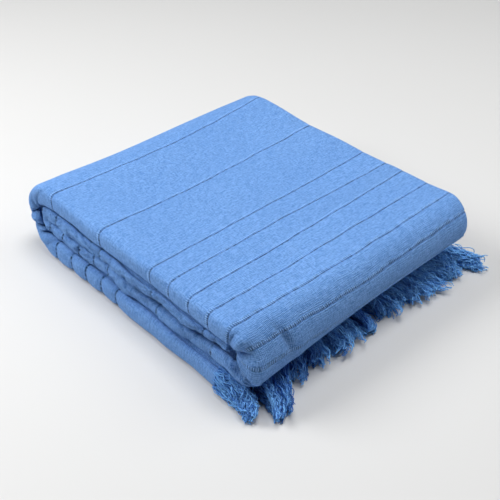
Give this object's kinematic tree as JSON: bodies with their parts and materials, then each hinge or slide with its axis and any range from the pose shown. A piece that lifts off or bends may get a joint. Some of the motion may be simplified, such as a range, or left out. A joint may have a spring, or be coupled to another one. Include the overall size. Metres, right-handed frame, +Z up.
{
  "type": "folded fringed blanket",
  "caption": "Plain blue woven blanket with thin ladder-like lines, folded across its width and rolled flat into a soft slab, with a kinky yarn fringe coming out under one fold.",
  "frame": {"origin": "under the middle of the blanket with its fringe, on the surface it lies on", "axes": "+X along the blanket's length towards the fringe, +Y along the woven lines away from the rounded width folds, +Z up"},
  "size_m": [0.4776, 0.4016, 0.1099],
  "materials": {
    "cloth": "matt plain-woven cotton with fine weft ribs",
    "fringe": "matt loose kinky cotton yarn"
  },
  "bodies": {
    "root": {"cloth": "cloth", "fringe": "fringe"}
  },
  "joints": []
}
